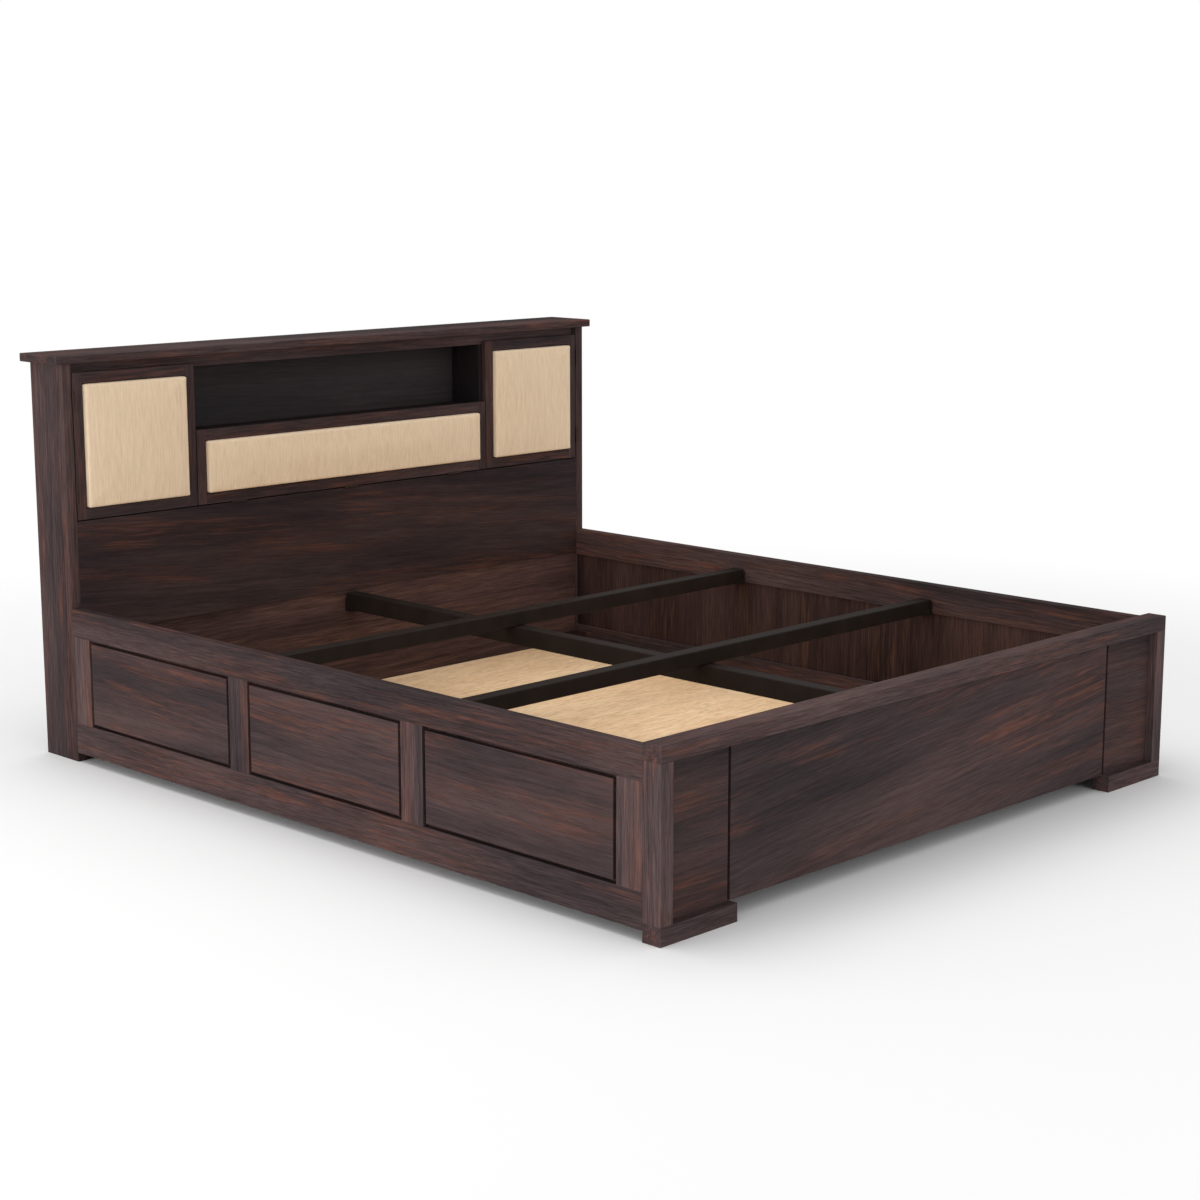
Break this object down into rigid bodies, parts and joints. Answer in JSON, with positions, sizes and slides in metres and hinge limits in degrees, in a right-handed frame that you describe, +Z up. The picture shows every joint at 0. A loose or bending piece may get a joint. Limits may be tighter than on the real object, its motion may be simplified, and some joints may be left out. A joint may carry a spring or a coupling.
{
  "type": "storage bed",
  "caption": "Wooden storage bed with panelled side rails, recessed footboard, steel beams over a storage floor, and a headboard with padded cabinet doors, a drop flap and an open niche.",
  "frame": {"origin": "on the ground under the middle of the bed's outer box", "axes": "+Y along the bed from the foot to the headboard, +Z up, +X across to the right seen from the foot"},
  "size_m": [1.945, 2.2856, 1.079],
  "materials": {
    "dark_wood": "satin dark stain",
    "inner_wood": "satin dark stain",
    "birch_ply": "bare plywood",
    "cream_fabric": "woven slub",
    "black_steel": "black powder coat",
    "bronze_hinge": "dark bronze",
    "catch_plastic": "matte",
    "strike_steel": "plain"
  },
  "bodies": {
    "frame": {"beam_saddles": "black_steel", "cabinet_floor": "dark_wood", "cabinet_partition_left": "dark_wood", "cabinet_partition_right": "dark_wood", "case_hinge_leaves": "bronze_hinge", "center_beam": "black_steel", "corner_angles": "black_steel", "corner_bolts": "black_steel", "cross_beam_foot": "black_steel", "cross_beam_head": "black_steel", "floor_battens": "inner_wood", "floor_cleats": "inner_wood", "footboard_back_board": "inner_wood", "footboard_center_panel": "dark_wood", "footboard_foot_left": "dark_wood", "footboard_foot_right": "dark_wood", "footboard_posts": "dark_wood", "footboard_side_panels": "dark_wood", "footboard_top_rail": "dark_wood", "headboard_back_panel": "inner_wood", "headboard_cap": "dark_wood", "headboard_frieze_rail": "dark_wood", "headboard_lower_panel": "dark_wood", "headboard_side_left": "dark_wood", "headboard_side_right": "dark_wood", "hinge_pins": "bronze_hinge", "left_rail_bottom": "dark_wood", "left_rail_lining": "inner_wood", "left_rail_panels": "dark_wood", "left_rail_stiles": "dark_wood", "left_rail_top": "dark_wood", "magnetic_catches": "catch_plastic", "niche_shelf": "dark_wood", "right_rail_bottom": "dark_wood", "right_rail_lining": "inner_wood", "right_rail_panels": "dark_wood", "right_rail_stiles": "dark_wood", "right_rail_top": "dark_wood", "saddle_screws": "black_steel", "storage_floor_sheets": "birch_ply", "storage_head_end": "inner_wood", "support_feet": "inner_wood"},
    "center_flap": {"center_flap_backing": "inner_wood", "center_flap_hinge_leaves": "bronze_hinge", "center_flap_pad": "cream_fabric", "center_flap_rails": "dark_wood", "center_flap_stiles": "dark_wood", "center_flap_strike": "strike_steel"},
    "left_door": {"left_door_backing": "inner_wood", "left_door_hinge_leaves": "bronze_hinge", "left_door_pad": "cream_fabric", "left_door_rails": "dark_wood", "left_door_stiles": "dark_wood", "left_door_strike": "strike_steel"},
    "right_door": {"right_door_backing": "inner_wood", "right_door_hinge_leaves": "bronze_hinge", "right_door_pad": "cream_fabric", "right_door_rails": "dark_wood", "right_door_stiles": "dark_wood", "right_door_strike": "strike_steel"}
  },
  "joints": [
    {"name": "left_door_hinge", "type": "hinge", "parent": "frame", "child": "left_door", "pos_m": [-0.9195, 0.97935, 0.8395], "axis": [0, 0, -1], "range_deg": [0, 105]},
    {"name": "right_door_hinge", "type": "hinge", "parent": "frame", "child": "right_door", "pos_m": [0.9195, 0.97935, 0.8395], "axis": [0, 0, 1], "range_deg": [0, 105]},
    {"name": "center_flap_hinge", "type": "hinge", "parent": "frame", "child": "center_flap", "pos_m": [0, 0.97935, 0.6445], "axis": [1, 0, 0], "range_deg": [0, 90]}
  ]
}
